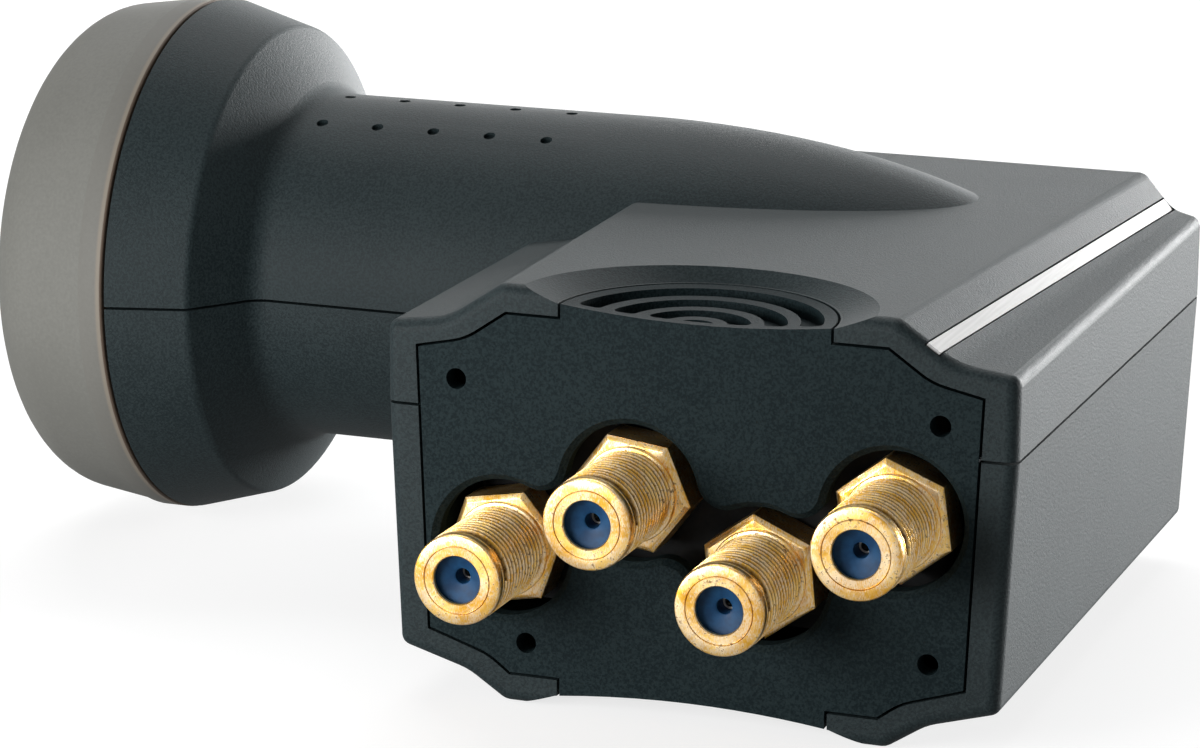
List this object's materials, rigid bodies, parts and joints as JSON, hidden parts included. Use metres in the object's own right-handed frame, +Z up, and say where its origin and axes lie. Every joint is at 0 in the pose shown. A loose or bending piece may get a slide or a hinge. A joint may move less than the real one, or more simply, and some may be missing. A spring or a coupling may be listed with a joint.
{
  "type": "satellite lnb",
  "caption": "Satellite dish LNB with capped feed horn, round clamp collar, charcoal shell housing, sliding weather shield and threaded coaxial outputs.",
  "frame": {"origin": "middle of the 40 mm clamp collar, on the horn's axis", "axes": "+X along the horn's axis, away from the mouth and into the body; -Y the way the outputs point; +Z up"},
  "size_m": [0.1311, 0.099, 0.0614],
  "materials": {
    "housing": "fine sand texture",
    "shield": "fine sand texture",
    "cap": "satin",
    "trim": "satin silver",
    "gold": "gold plated",
    "insulator": "moulded blue",
    "plating": "tinned",
    "casting": "die cast, coated black",
    "steel": "zinc plated",
    "board": "solder mask",
    "chip": "moulded",
    "resonator": "fired ceramic",
    "seal": "moulded"
  },
  "bodies": {
    "housing": {"upper_shell": "housing", "lower_shell": "housing", "trim_strip_left": "trim", "trim_strip_right": "trim", "feed_cap": "cap", "rf_casting": "casting", "casting_cover": "casting", "cover_gasket": "seal", "cover_screws": "steel", "circuit_board": "board", "board_chips": "chip", "resonator_pucks": "resonator", "tuning_screws": "steel", "vertical_probe": "plating", "horizontal_probe": "plating", "isolation_pin": "steel", "cap_seal": "seal", "f_connector_1": "gold", "f_insulator_1": "insulator", "f_contact_1": "plating", "f_seal_1": "seal", "f_connector_2": "gold", "f_insulator_2": "insulator", "f_contact_2": "plating", "f_seal_2": "seal", "f_connector_3": "gold", "f_insulator_3": "insulator", "f_contact_3": "plating", "f_seal_3": "seal", "f_connector_4": "gold", "f_insulator_4": "insulator", "f_contact_4": "plating", "f_seal_4": "seal"},
    "shield": {"weather_shield": "shield"}
  },
  "joints": [
    {"name": "shield_slide", "type": "slide", "parent": "housing", "child": "shield", "axis": [0, -1, 0], "range_m": [0, 0.028]}
  ]
}
